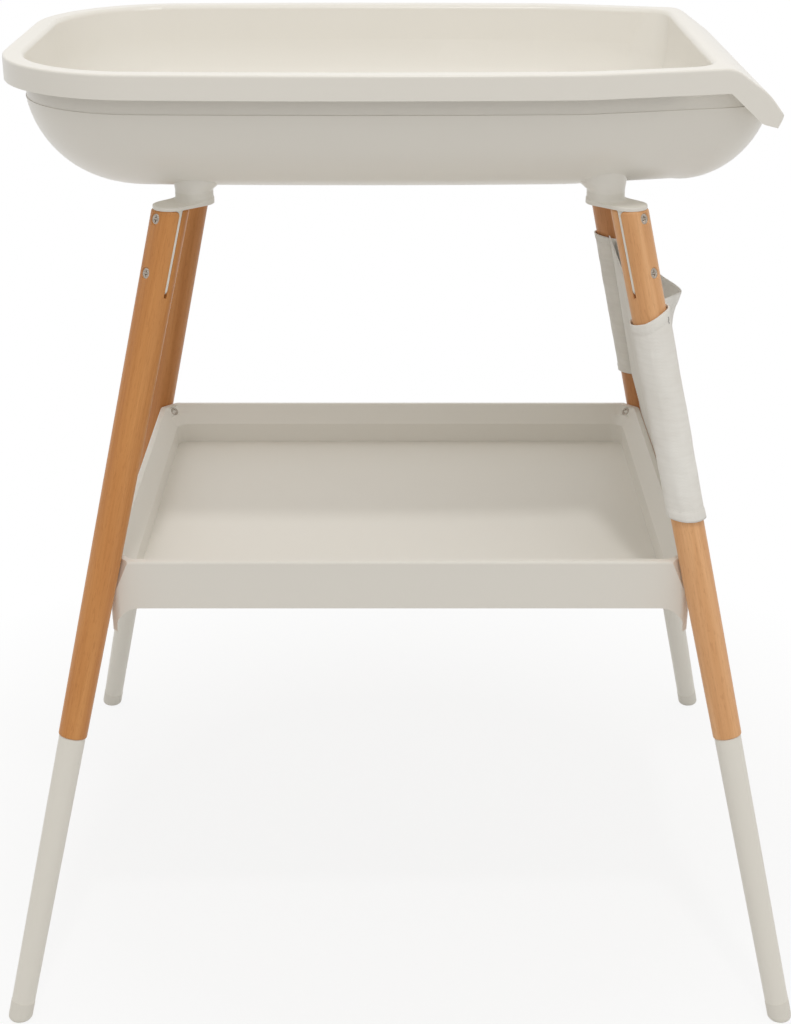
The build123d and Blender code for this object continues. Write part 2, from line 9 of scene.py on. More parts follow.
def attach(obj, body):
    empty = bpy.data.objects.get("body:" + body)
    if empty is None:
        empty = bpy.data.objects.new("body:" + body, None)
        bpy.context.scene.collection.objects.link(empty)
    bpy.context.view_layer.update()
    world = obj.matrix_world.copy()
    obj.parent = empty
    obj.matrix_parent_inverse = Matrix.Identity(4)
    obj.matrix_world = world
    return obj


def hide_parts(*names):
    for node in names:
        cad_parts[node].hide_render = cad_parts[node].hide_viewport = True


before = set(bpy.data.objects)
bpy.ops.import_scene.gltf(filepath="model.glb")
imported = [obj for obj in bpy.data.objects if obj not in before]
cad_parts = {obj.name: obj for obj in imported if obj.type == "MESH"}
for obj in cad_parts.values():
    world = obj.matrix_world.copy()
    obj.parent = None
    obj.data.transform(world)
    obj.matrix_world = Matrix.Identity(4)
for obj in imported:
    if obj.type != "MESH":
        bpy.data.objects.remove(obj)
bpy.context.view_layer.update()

# Lengths in metres. The object stands on z = 0, its lowered tub end at +X and its front at -Y.

# Each corner's name with its side along X and along Y
corner_sides = (("front_left", -1, -1), ("front_right", 1, -1),
                ("back_left", -1, 1), ("back_right", 1, 1))

# Camera, fitted to the photograph through the feet, the leg tops and the rim
camera_place = (0, -1.9138, 1.2589)
camera_pitch_deg = 23.336
camera_lens_mm = 65.04
camera_sensor_mm = 36
camera_shift_x = -0.0044

# Light: a soft sky that dims towards the horizon, a small lamp above the front and a broad one
# at the side
sky_colour = (1, 0.972, 0.925, 1)
sky_strength = 0.875
horizon_share = 0.30
horizon_height, zenith_height = -0.05, 0.62
# (name, place, target, side length, power in watts)
lamps = (("key", (0.15, -1.15, 3.07), (0, 0, 0.6), 0.16, 12.8),
         ("side", (1.9, -1.6, 1.2), (0.2, 0, 0.6), 1.2, 1.6))

# Floor: its paint, and how white it is seen at a distance from the middle
floor_half = 6
floor_grey = 0.78
floor_fade_start, floor_fade_end = 0.35, 0.85
floor_white_near = 0.80

# Legs, as in the CAD model. From top to foot each leans out by leg_run along X and along Y
leg_top = (0.221, 0.160, 0.822)
leg_run = 0.1784
wood_length = 0.543
leg_half_top = 0.0169
leg_half_end = 0.0144
leg_corner = 0.01415

# Leg screws: countersunk, seated a little below the wood
leg_screw_drops = (0.013, 0.066)
leg_screw_sink = 0.0011
leg_screw = {"head": 0.0053, "core": 0.00295, "cone": 0.0032, "length": 0.0279}
# Heads of the shelf screws, found by a ray from inside the tray towards its corner face
shelf_ray_start = (0.20, 0.141, 0.4735)
shelf_head_rise = 0.0009
shelf_screw = {"head": 0.0048, "core": 0.0030, "cone": 0.0020, "length": 0.0030}
# Every screw's face, thread and cross recess
screw_sectors = 64
screw_face_rings = 17
screw_face_share = 0.94
screw_edge = 0.0003
thread_pitch = 0.0016
thread_depth = 0.00035
thread_end = 0.002
screw_bevel = 0.00005
screw_tip = 0.0008
cross_reach = 0.0031
cross_half_width = 0.0011
cross_wall = 0.0003
cross_depth = 0.0021

# Fabric pocket round the two legs at +X. Its sheets follow the CAD pieces, with the upper edges
# at the heights that the photograph shows
sleeve_gap = 0.0005
sleeve_cloth = 0.0013
# Middle height of the sleeve's upper edge and its tilt towards +X, at the front and the back
sleeve_top = {-1: (0.7215, 0.0090), 1: (0.7045, -0.0030)}
sleeve_bottom = 0.5265
sleeve_length = 0.2
sleeve_flat = {-1: ((0.124, 0.214), 0.0240), 1: ((0.124, 0.204), 0.0228)}
hem_width = 0.010
hem_rise = 0.0005
hem_groove = 0.0004
hem_groove_width = 0.0022
sleeve_crease = 0.0005
sleeve_slack = 0.0010
sleeve_pucker = 0.00022
# Distance between a sleeve's wood and the seams of the pouch and the panel
seam_offset = 0.0030
pocket_height = 0.235
pouch_cloth = 0.0014
pouch_foot = 0.4745
pouch_offset = 0.0008
pouch_bulge = 0.050
pouch_roundness = 2.15
# How much further the pouch's back half bows at the mouth
pouch_lean = 0.10
pouch_flat = ((0.436, 0.268), 0.100)
mouth_hem_width = 0.013
mouth_groove_width = 0.0024
mouth_pucker = 0.0003
# Share of the pouch's height over which its foot turns in
foot_turn = 0.012
# The pouch's bow at shares of its height, from foot to mouth
pouch_bow = ((0, 0.10), (0.37, 0.33), (0.71, 0.51), (0.88, 0.72), (1, 1.0))
# The mouth's height from the front seam to the back seam
mouth_line = ((-1, 0.7225), (-0.76, 0.7195), (-0.43, 0.7090), (-0.12, 0.6965), (0.2, 0.6880),
              (0.53, 0.6840), (0.82, 0.6900), (1, 0.7030))
# Heights of the pouch's folds
hanging_fold = 0.0013
foot_sag = 0.0012
crumple = 0.00045
foot_pucker = 0.0004
# Folds pulled by the mouth's corners: the diagonal's direction, where it starts and ends, and
# (offset from the diagonal, height, width)
pull_x, pull_y = 0.66, 0.75
pull_start, pull_end = 0.12, 0.95
pull_folds = ((0.06, 0.0021, 0.060), (-0.10, 0.0014, 0.052), (0.23, 0.0015, 0.075))
bell_base = 2.71
panel_top = 0.7045
panel_rise_front, panel_rise_back = 0.0125, 0.0040
panel_dip = 0.002
# How far the panel bulges towards the tray, its folds and crumples, and its deepest hollow
panel_bulge = 0.0022
panel_fold = 0.0009
panel_crumple = 0.0008
panel_hollow = 0.0006
panel_cloth = 0.0014
panel_offset = 0.0004
panel_flat = ((0.436, 0.252), 0.096)
panel_shift = 0.0035
panel_shift_start = 0.490
panel_shift_run = 0.040

# Stitches, and the rows of the small bartack at the sleeve's upper edge
stitch_length = 0.0027
stitch_gap = 0.0011
stitch_radius = 0.00030
stitch_sides = 6
stitch_look = 0.0003
# A stitch's rings: (share of its length, height in radii, thickness in radii)
stitch_rings = ((0, -1.1, 0.55), (0.16, 0.1, 0.95), (0.5, 0.45, 1), (0.84, 0.1, 0.95),
                (1, -1.1, 0.55))
# Places of the seams, as shares of the cloth's half width and of its height
seam_share = 0.985
pouch_seam_foot = 0.028
panel_seam_foot, panel_seam_run = 0.03, 0.96
# How strongly the pouch's grid crowds towards its two seams
seam_crowding = 0.35
tack_turn = 0.0334
tack_rows = 9
tack_top = 0.968
tack_pitch = 0.0038
tack_half_width = 0.0105
tack_stagger = 0.002
tack_lift = 0.0001
tack_stitch = {"radius": 0.00028, "length": 0.0019, "gap": 0.00001}


def srgb(red, green, blue):
    """Linear colour of a colour written as 0 to 255."""
    def linear(value):
        share = value / 255
        return share / 12.92 if share <= 0.04045 else ((share + 0.055) / 1.055) ** 2.4
    return (linear(red), linear(green), linear(blue), 1)


def clamp(value, low=0, high=1):
    return max(low, min(high, value))


def leg_line(side_x, side_y):
    """The top of a leg's axis and the direction that climbs the leg."""
    top = Vector((side_x * leg_top[0], side_y * leg_top[1], leg_top[2]))
    foot = Vector((side_x * (leg_top[0] + leg_run), side_y * (leg_top[1] + leg_run), 0))
    return top, (top - foot).normalized()


def leg_half(drop):
    """Half the wooden leg's thickness at a distance down its axis."""
    return leg_half_top + (leg_half_end - leg_half_top) * drop / wood_length


# Materials

plain_white = (1, 1, 1, 1)
# Layers of the wood's pattern: (scales across, across and along the leg), detail, roughness and
# distortion
wood_layers = (((75, 75, 3.2), 6, 0.6, 0.6),
               ((420, 420, 9), 3, 0.6, 0),
               ((14, 14, 1.6), 2, 0.5, 0),
               ((900, 900, 110), 2, 0.5, 0))
wood_tint = ((0.32, (0.86, 0.80, 0.72, 1)), (0.7, (1.06, 1.05, 1.04, 1)))
wood_streak = ((0.36, (0.72, 0.62, 0.52, 1)), (0.52, plain_white))
wood_fleck = ((0.36, (0.62, 0.46, 0.34, 1)), (0.42, plain_white))
# Light and dark tone of each leg's wood, with painted light: the front right leg is painted lighter
# for the light from the right, and the back legs darker and redder as painted shade under the tub
beech_tones_with_painted_light = {"front_left": (srgb(212, 150, 87), srgb(194, 128, 66)),
               "front_right": (srgb(235, 184, 134), srgb(217, 160, 107)),
               "back_left": (srgb(208, 145, 84), srgb(188, 122, 64)),
               "back_right": (srgb(216, 158, 108), srgb(194, 132, 84))}
beech_seed_step = 0.37
steel_tones = ((0.3, srgb(138, 127, 114)), (0.7, srgb(196, 187, 176)))
weave_pitch = 0.00062
weave_tones = ((0.25, (0.95, 0.948, 0.942, 1)), (0.8, plain_white))
slub_tones = ((0.35, (0.88, 0.87, 0.85, 1)), (0.6, plain_white))
thread_shade = 0.82


class Nodes:
    """Short calls for building one material's node tree."""

    def __init__(self, name):
        self.material = bpy.data.materials.new(name)
        self.material.use_nodes = True
        self.tree = self.material.node_tree
        self.shader = self.tree.nodes["Principled BSDF"]
        self.coords = self.add("ShaderNodeTexCoord").outputs["Object"]

    def add(self, kind, **values):
        """A new node. Values go to its properties or, by name, to its sockets."""
        node = self.tree.nodes.new(kind)
        for key, value in values.items():
            if hasattr(node, key):
                setattr(node, key, value)
            else:
                node.inputs[key.replace("_", " ")].default_value = value
        return node

    def link(self, output, socket):
        self.tree.links.new(output, socket)

    def feed(self, value, socket):
        """Links an output to a socket, or writes a constant into it."""
        if hasattr(value, "is_output"):
            self.link(value, socket)
        else:
            socket.default_value = value

    def mapped(self, place=(0, 0, 0), turn=(0, 0, 0), scale=(1, 1, 1)):
        """Coordinates in a placed and turned frame, then stretched along its axes."""
        frame_node = self.add("ShaderNodeMapping", vector_type="TEXTURE", Location=place,
                              Rotation=turn)
        self.link(self.coords, frame_node.inputs["Vector"])
        stretch = self.add("ShaderNodeMapping", vector_type="POINT", Scale=scale)
        self.link(frame_node.outputs["Vector"], stretch.inputs["Vector"])
        return stretch.outputs["Vector"]

    def noise(self, vector, scale, detail, roughness, distortion=0):
        node = self.add("ShaderNodeTexNoise", Scale=scale, Detail=detail, Roughness=roughness,
                        Distortion=distortion)
        self.link(vector, node.inputs["Vector"])
        return node.outputs["Fac"]

    def ramp(self, factor, stops):
        node = self.add("ShaderNodeValToRGB")
        for element, (place, colour) in zip(node.color_ramp.elements, stops):
            element.position = place
            element.color = colour
        for place, colour in stops[len(node.color_ramp.elements):]:
            node.color_ramp.elements.new(place).color = colour
        self.link(factor, node.inputs["Fac"])
        return node.outputs["Color"]

    def remap(self, value, low, high, to_low, to_high):
        node = self.add("ShaderNodeMapRange", From_Min=low, From_Max=high, To_Min=to_low,
                        To_Max=to_high)
        self.link(value, node.inputs["Value"])
        return node.outputs["Result"]

    def mix(self, factor, first, second, blend="MIX"):
        node = self.add("ShaderNodeMix", data_type="RGBA", blend_type=blend)
        for index, value in ((0, factor), (6, first), (7, second)):
            self.feed(value, node.inputs[index])
        return node.outputs[2]

    def math(self, operation, first, second):
        node = self.add("ShaderNodeMath", operation=operation)
        for socket, value in zip(node.inputs, (first, second)):
            self.feed(value, socket)
        return node.outputs[0]

    def bump(self, height, strength, distance, before=None):
        node = self.add("ShaderNodeBump", Strength=strength, Distance=distance)
        self.link(height, node.inputs["Height"])
        if before:
            self.link(before, node.inputs["Normal"])
        return node.outputs["Normal"]

    def finish(self, colour=None, rough=None, normal=None, **values):
        """Fills the shader's sockets: outputs by position, constants by name."""
        for key, value in values.items():
            self.shader.inputs[key.replace("_", " ")].default_value = value
        for name, output in (("Base Color", colour), ("Roughness", rough), ("Normal", normal)):
            if output is not None:
                self.link(output, self.shader.inputs[name])
        return self.material


def beech(name, side_x, side_y, seed, light, dark):
    """Lacquered beech with grain, pores and short rays along one leg."""
    n = Nodes(name)
    place = (side_x * leg_top[0], side_y * leg_top[1], leg_top[2] + seed)
    climb = Vector((-side_x * leg_run, -side_y * leg_run, leg_top[2])).normalized()
    turn = climb.to_track_quat("Z", "Y").to_euler()
    grain, fine, broad, rays = (n.noise(n.mapped(place, turn, scale), 1, *settings)
                                for scale, *settings in wood_layers)
    middle = tuple((a + b) / 2 for a, b in zip(light, dark))
    base = n.ramp(grain, ((0.30, dark), (0.5, middle), (0.68, light)))
    for share, layer, tones in ((0.5, broad, wood_tint), (0.2, fine, wood_streak),
                                (0.22, rays, wood_fleck)):
        base = n.mix(share, base, n.ramp(layer, tones), "MULTIPLY")
    rough = n.remap(fine, 0.3, 0.7, 0.50, 0.40)
    normal = n.bump(grain, 0.10, 0.0006, n.bump(fine, 0.12, 0.0004))
    return n.finish(base, rough, normal, Coat_Weight=0.08, Coat_Roughness=0.3,
                    Specular_IOR_Level=0.4)


def moulded(name, colour, rough, cell, depth):
    """Moulded plastic or paint: an even colour, fine texture and soft gloss."""
    n = Nodes(name)
    normal = n.bump(n.noise(n.mapped(), cell, 2, 0.5), 0.2, depth)
    return n.finish(None, None, normal, Base_Color=colour, Roughness=rough,
                    Specular_IOR_Level=0.45)


def plated_steel(name):
    """Plated screw steel with faint streaks."""
    n = Nodes(name)
    smear = n.noise(n.mapped(scale=(300, 300, 1400)), 1, 3, 0.6)
    rough = n.remap(smear, 0.3, 0.7, 0.34, 0.24)
    return n.finish(n.ramp(smear, steel_tones), rough, n.bump(smear, 0.1, 0.00005), Metallic=1)


def canvas(name, colour, shade):
    """Woven cotton canvas: warp and weft threads, slubs and soft sheen."""
    n = Nodes(name)

    def threads(direction, scale):
        node = n.add("ShaderNodeTexWave", wave_type="BANDS", bands_direction=direction,
                     Scale=2 * pi / weave_pitch / 20, Distortion=1.2, Detail=2, Detail_Scale=3)
        n.link(n.mapped(scale=scale), node.inputs["Vector"])
        return node.outputs["Fac"]

    weave = n.math("ADD", threads("Y", (1, 1, 0.15)), threads("Z", (0.15, 0.15, 1)))
    slub = n.noise(n.mapped(scale=(40, 40, 260)), 1, 4, 0.6)
    soft = n.noise(n.mapped(), 16, 3, 0.5)
    base = n.mix(n.remap(soft, 0.35, 0.7, 0, 1), shade, colour)
    base = n.mix(0.6, base, n.ramp(n.remap(weave, 0, 2, 0, 1), weave_tones), "MULTIPLY")
    base = n.mix(0.25, base, n.ramp(slub, slub_tones), "MULTIPLY")
    normal = n.bump(slub, 0.12, 0.0002, n.bump(weave, 0.12, 0.0001))
    rough = n.remap(slub, 0.3, 0.7, 0.95, 0.85)
    return n.finish(base, rough, normal, Sheen_Weight=0.15, Sheen_Roughness=0.5,
                    Specular_IOR_Level=0.2)


def canvas_thread(name, colour):
    """Twisted sewing thread."""
    n = Nodes(name)
    twist = n.noise(n.mapped(), 900, 2, 0.5)
    darker = tuple(c * thread_shade for c in colour[:3]) + (1,)
    base = n.mix(n.remap(twist, 0.35, 0.65, 0, 1), darker, colour)
    return n.finish(base, None, n.bump(twist, 0.3, 0.0001), Roughness=0.7, Sheen_Weight=0.2,
                    Specular_IOR_Level=0.25)


def dress(node, material):
    """Gives a CAD node its finished material."""
    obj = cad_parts[node]
    obj.data.materials.clear()
    obj.data.materials.append(material)


# Meshes

def mesh_object(name, mesh, material, sharp_deg=None):
    """Object made of a bmesh, smooth except along edges sharper than the given angle."""
    bmesh.ops.recalc_face_normals(mesh, faces=mesh.faces)
    for face in mesh.faces:
        face.smooth = True
    if sharp_deg:
        for edge in mesh.edges:
            if len(edge.link_faces) == 2 and edge.calc_face_angle(0) > radians(sharp_deg):
                edge.smooth = False
    data = bpy.data.meshes.new(name)
    mesh.to_mesh(data)
    mesh.free()
    data.materials.append(material)
    obj = bpy.data.objects.new(name, data)
    bpy.context.scene.collection.objects.link(obj)
    return obj


def on_stand(obj):
    """Makes a piece ride on the stand."""
    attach(obj, "stand")
    return obj


def recess_depth(x, y):
    """Depth of a cross recess, tapered towards its four ends."""
    across, along = min(abs(x), abs(y)), max(abs(x), abs(y))
    if along >= cross_reach:
        return 0
    wall = clamp((cross_half_width - across) / cross_wall)
    return cross_depth * wall * clamp(1.25 - 1.15 * along / cross_reach) ** 0.8


def screw_rings(head, core, cone, length):
    """(radius, height) pairs from the middle of the head to the tip, 0 at the head's top."""
    rings = [(head * (k + 0.5) / screw_face_rings * screw_face_share, 0)
             for k in range(screw_face_rings)]
    rings += [(head - screw_edge, -screw_bevel), (head, -screw_edge),
              (head - screw_edge, -2 * screw_edge), (core, -cone)]
    for k in range(int((length - cone - thread_end) / thread_pitch * 4)):
        groove = thread_depth if k % 4 in (2, 3) else 0
        rings.append((core - groove, -cone - thread_pitch * k / 4))
    return rings + [(core * 0.5, -length + screw_tip), (core * 0.1, -length)]


def add_screw(mesh, place, axis, head, core, cone, length):
    """Adds a closed screw whose head faces along the axis."""
    turn = axis.to_track_quat("Z", "Y").to_matrix()
    loops = []
    for radius, height in screw_rings(head, core, cone, length):
        loop = []
        for k in range(screw_sectors):
            angle = 2 * pi * k / screw_sectors
            x, y = radius * cos(angle), radius * sin(angle)
            deep = recess_depth(x, y) if height == 0 else 0
            loop.append(mesh.verts.new(place + turn @ Vector((x, y, height - deep))))
        loops.append(loop)
    for first, second in zip(loops, loops[1:]):
        for k in range(screw_sectors):
            m = (k + 1) % screw_sectors
            mesh.faces.new((first[k], second[k], second[m], first[m]))
    mesh.faces.new(loops[0])
    mesh.faces.new(loops[-1][::-1])


def make_leg_screws(material):
    """The eight leg screws, two a leg, in place of the CAD ones."""
    mesh = bmesh.new()
    for _, side_x, side_y in corner_sides:
        top, axis = leg_line(side_x, side_y)
        outward = Vector((side_x, side_y, 0)).normalized()
        out = (outward - axis * outward.dot(axis)).normalized()
        for drop in leg_screw_drops:
            place = top - axis * drop + out * (leg_half(drop) - leg_screw_sink)
            add_screw(mesh, place, out, **leg_screw)
    obj = on_stand(mesh_object("leg_screws_driven", mesh, material, 35))
    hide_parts("leg_screws")


def make_shelf_heads(material):
    """Heads of the four shelf screws, on the tray's corner faces as the photograph shows them."""
    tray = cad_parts["shelf_tray"]
    inverse = tray.matrix_world.inverted()
    mesh = bmesh.new()
    for _, side_x, side_y in corner_sides:
        start = Vector((side_x * shelf_ray_start[0], side_y * shelf_ray_start[1],
                        shelf_ray_start[2]))
        aim = Vector((side_x, side_y, 0)).normalized()
        hit, point, normal, _ = tray.ray_cast(inverse @ start, inverse.to_3x3() @ aim)
        if not hit:
            raise RuntimeError("no tray corner behind the shelf screw")
        point = tray.matrix_world @ point
        normal = (tray.matrix_world.to_3x3() @ normal).normalized()
        add_screw(mesh, point + normal * shelf_head_rise, normal, **shelf_screw)
    on_stand(mesh_object("shelf_screw_heads", mesh, material, 35))


# Fabric pocket

def curved(table, place):
    """Value on a smooth curve through the pairs of a table."""
    index = max(i for i, pair in enumerate(table[:-1]) if place >= pair[0] or i == 0)
    start, end = table[index], table[index + 1]
    before = table[max(index - 1, 0)]
    after = table[min(index + 2, len(table) - 1)]
    span = end[0] - start[0]
    slope_start = (end[1] - before[1]) / (end[0] - before[0])
    slope_end = (after[1] - start[1]) / (after[0] - start[0])
    t = (place - start[0]) / span
    return (start[1] * (2 * t ** 3 - 3 * t ** 2 + 1)
            + slope_start * span * (t ** 3 - 2 * t ** 2 + t)
            + end[1] * (3 * t ** 2 - 2 * t ** 3) + slope_end * span * (t ** 3 - t ** 2))


def wave(x, y, seed):
    """Soft irregular value from -1 to 1."""
    return mnoise.noise(Vector((x, y, seed)))


def hem_lift(reach, width, groove_width, pucker=0):
    """Rise of a folded hem at a distance from the cloth's edge, and the groove of its seam."""
    folded = hem_rise + pucker if reach < width else 0
    return folded - hem_groove * max(0, 1 - abs(reach - width) / groove_width)


def leg_frame(side):
    """Top, climbing axis, outward and across directions of a right leg, side -1 at the front."""
    top, axis = leg_line(1, side)
    across = axis.cross(Vector((1, side, 0)).normalized()).normalized()
    return top, axis, across.cross(axis), across


def between_sleeves(height):
    """X of the right legs' axes and half the width between their sleeves, at a height."""
    run = (leg_top[2] - height) / leg_top[2]
    drop = (leg_top[2] - height) * sqrt(1 + 2 * (leg_run / leg_top[2]) ** 2)
    reach = (leg_half(drop) - leg_corner) * sqrt(2) + leg_corner + seam_offset
    return leg_top[0] + leg_run * run, leg_top[1] + leg_run * run - reach


def sleeve_point(side, turn, height, lift):
    """Point at a lift off the leg's wood. The turn runs round the leg from its outward face."""
    top, axis, out, across = leg_frame(side)
    corner = leg_corner + lift
    drop = (top.z - height) / axis.z
    for _ in range(2):
        flat = leg_half(drop) + lift - corner
        x = flat * clamp(3 * cos(turn), -1) + corner * cos(turn)
        y = flat * clamp(3 * sin(turn), -1) + corner * sin(turn)
        aside = out * x + across * y
        drop = (top.z + aside.z - height) / axis.z
    return top - axis * drop + aside


def sleeve_edge(side, turn):
    """Height of the sleeve's upper edge round the leg."""
    _, _, out, across = leg_frame(side)
    middle, tilt = sleeve_top[side]
    return middle + tilt * (out.x * cos(turn) + across.x * sin(turn))


def sleeve_lift(side, turn, share):
    """How far the sleeve's outside stands off the wood: hems, slack and soft creases."""
    x, y = cos(turn), sin(turn)
    creases = wave(x * 1.7, share * 9 + 0.8 * y, 3.1 + side)
    creases += 0.6 * wave(x * 3.1 + 4, share * 21 - 1.4 * y, 8.4 + side)
    slack = 0.5 + 0.5 * wave(x * 1.2 + 9, y * 1.2, 2.2 + 2.5 * share + side)
    lift = sleeve_gap + sleeve_cloth + sleeve_crease * max(creases + 0.4, 0) + sleeve_slack * slack
    for reach in ((1 - share) * sleeve_length, share * sleeve_length):
        lift += hem_lift(reach, hem_width, hem_groove_width,
                         sleeve_pucker * wave(x * 9, y * 9, side))
    return lift


def pouch_place(u, v):
    """Middle surface of the pouch without its folds.

    u runs from the front seam to the back one, v from foot to mouth.
    """
    mouth = curved(mouth_line, clamp(u, -1))
    height = pouch_foot + (mouth - pouch_foot) * v
    centre_x, width = between_sleeves(height)
    full = curved(pouch_bow, max(v, 0))
    if v < 0:
        full *= sqrt(max(0, 1 - (v / foot_turn) ** 2))
    bow = (1 - abs(u) ** pouch_roundness) * (1 + pouch_lean * u * max(v, 0) ** 4)
    return Vector((centre_x + pouch_offset + pouch_bulge * full * bow, u * width, height))


def pouch_lift(u, v):
    """Height of the folds over the pouch's middle surface."""
    inside = (1 - u * u) ** 0.7
    hang = clamp((v - 0.12) / 0.7)
    folds = cos(7.4 * u + 1.1 * wave(u * 1.5, v * 2, 5.3) + 0.5) * hang ** 1.3
    folds += 0.5 * cos(13.1 * u - 2.2 * v + 1.8 * wave(u * 2, v * 1.6, 1.7)) * hang
    lift = hanging_fold * inside * folds
    for side in (-1, 1):
        # Distances from the mouth's corner, along the diagonal into the pouch and aside of it
        along = (1 - side * u) * pull_x + (1 - v) * pull_y
        aside = (1 - side * u) * pull_y - (1 - v) * pull_x
        pull = clamp(along / pull_start) * max(0, 1 - along / pull_end)
        for offset, size, wide in pull_folds:
            bent = aside - offset * (1 + along) + 0.03 * wave(along * 3, offset * 9, 2.9)
            lift += size * pull * bell_base ** (-(bent / wide) ** 2)
    sag = max(0, 1 - abs(v - 0.16 - 0.05 * u) / 0.13)
    lift += foot_sag * inside * sag * (0.6 + 0.4 * cos(11 * u + 1))
    lift += crumple * wave(u * 9, v * 7, 6.1) * inside
    low = max(0, 1 - max(v, 0) / 0.07)
    return lift + foot_pucker * low * cos(60 * u + 3 * wave(u * 6, 0, 4.4))


def pouch_point(u, v, lift=0):
    """Point on the pouch's outside, raised by the lift."""
    step = 0.004
    centre = pouch_place(u, v)
    du = pouch_place(u + step, v) - pouch_place(u - step, v)
    dv = pouch_place(u, v + step) - pouch_place(u, max(v - step, -foot_turn))
    normal = du.cross(dv).normalized()
    if v < 0:
        normal = Vector((normal.x, normal.y, min(normal.z, 0))).normalized()
    rise = pouch_lift(u, v)
    rise += hem_lift((1 - v) * pocket_height, mouth_hem_width, mouth_groove_width,
                     mouth_pucker * wave(u * 42, 0, 7.7))
    return centre + normal * (rise + lift)


def panel_point(u, v, lift=0):
    """Point on the panel's side towards the tray. u and v run as on the pouch."""
    rise = panel_rise_front if u < 0 else panel_rise_back
    top = panel_top + rise * abs(u) ** 1.6 - panel_dip * (1 - u * u)
    height = pouch_foot + (top - pouch_foot) * v
    centre_x, width = between_sleeves(height)
    slack = (1 - u * u) * max(0, sin(pi * clamp(v * 0.94 + 0.03)))
    inward = panel_bulge * slack + panel_fold * slack * cos(8 * u + 2 * wave(u, v * 2, 1.1))
    inward += panel_crumple * slack * wave(u * 4, v * 4, 9.2)
    inward += hem_lift((1 - v) * pocket_height, hem_width, hem_groove_width)
    shift = panel_shift * clamp((height - panel_shift_start) / panel_shift_run)
    x = centre_x - panel_offset - panel_cloth - shift - max(inward, -panel_hollow) - lift
    return Vector((x, u * width, height))


def sheet_object(name, outer, inner, closed, material):
    """Closed shell of cloth between an outer and an inner grid of points."""
    rows, columns = len(outer), len(outer[0])
    mesh = bmesh.new()
    layers = [[[mesh.verts.new(point) for point in row] for row in grid]
              for grid in (outer, inner)]
    last = columns if closed else columns - 1
    for grid, turned in zip(layers, (False, True)):
        for r in range(rows - 1):
            for c in range(last):
                d = (c + 1) % columns
                face = (grid[r][c], grid[r][d], grid[r + 1][d], grid[r + 1][c])
                mesh.faces.new(face[::-1] if turned else face)
    outside, inside = layers
    for r, flip in ((0, True), (rows - 1, False)):
        for c in range(last):
            d = (c + 1) % columns
            face = (outside[r][c], outside[r][d], inside[r][d], inside[r][c])
            mesh.faces.new(face if flip else face[::-1])
    if not closed:
        for c, flip in ((0, False), (columns - 1, True)):
            for r in range(rows - 1):
                face = (outside[r][c], outside[r + 1][c], inside[r + 1][c], inside[r][c])
                mesh.faces.new(face if flip else face[::-1])
    return mesh_object(name, mesh, material)


def stitch_row(mesh, path, radius, length, gap):
    """Lockstitches along a path of (point, normal) pairs, each a thread dipping at both ends."""
    reach = [0]
    for (a, _), (b, _) in zip(path, path[1:]):
        reach.append(reach[-1] + (b - a).length)

    def at(distance):
        for i in range(len(path) - 1):
            if distance <= reach[i + 1] or i == len(path) - 2:
                share = (distance - reach[i]) / max(reach[i + 1] - reach[i], 1e-9)
                (first, first_up), (second, second_up) = path[i], path[i + 1]
                return first.lerp(second, share), first_up.lerp(second_up, share).normalized()

    place = gap
    while place + length < reach[-1]:
        rings = []
        for share, dip, size in stitch_rings:
            middle = place + share * length
            point, normal = at(middle)
            ahead, _ = at(min(middle + stitch_look, reach[-1]))
            back, _ = at(max(middle - stitch_look, 0))
            aside = (ahead - back).normalized().cross(normal).normalized()
            centre = point + normal * dip * radius
            ring = []
            for k in range(stitch_sides):
                angle = 2 * pi * k / stitch_sides
                away = aside * cos(angle) + normal * sin(angle)
                ring.append(mesh.verts.new(centre + away * radius * size))
            rings.append(ring)
        for first, second in zip(rings, rings[1:]):
            for k in range(stitch_sides):
                m = (k + 1) % stitch_sides
                mesh.faces.new((first[k], first[m], second[m], second[k]))
        mesh.faces.new(rings[0][::-1])
        mesh.faces.new(rings[-1])
        place += length + gap


def stitching(name, paths, material, radius=stitch_radius, length=stitch_length, gap=stitch_gap):
    """One piece with the stitches of several paths."""
    mesh = bmesh.new()
    for path in paths:
        stitch_row(mesh, path, radius, length, gap)
    return on_stand(mesh_object(name, mesh, material))


def surface_path(point_at, places, is_outward):
    """(point, outward normal) pairs at places on a surface given by two running values."""
    step = 0.002
    path = []
    for a, b in places:
        point = point_at(a, b)
        da = point_at(a + step, b) - point_at(a - step, b)
        db = point_at(a, b + step) - point_at(a, b - step)
        normal = da.cross(db).normalized()
        path.append((point, normal if is_outward(point, normal) else -normal))
    return path


def finish_sheet(obj, node, flat, area, rests_on, stitches):
    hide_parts(node)
    on_stand(obj)


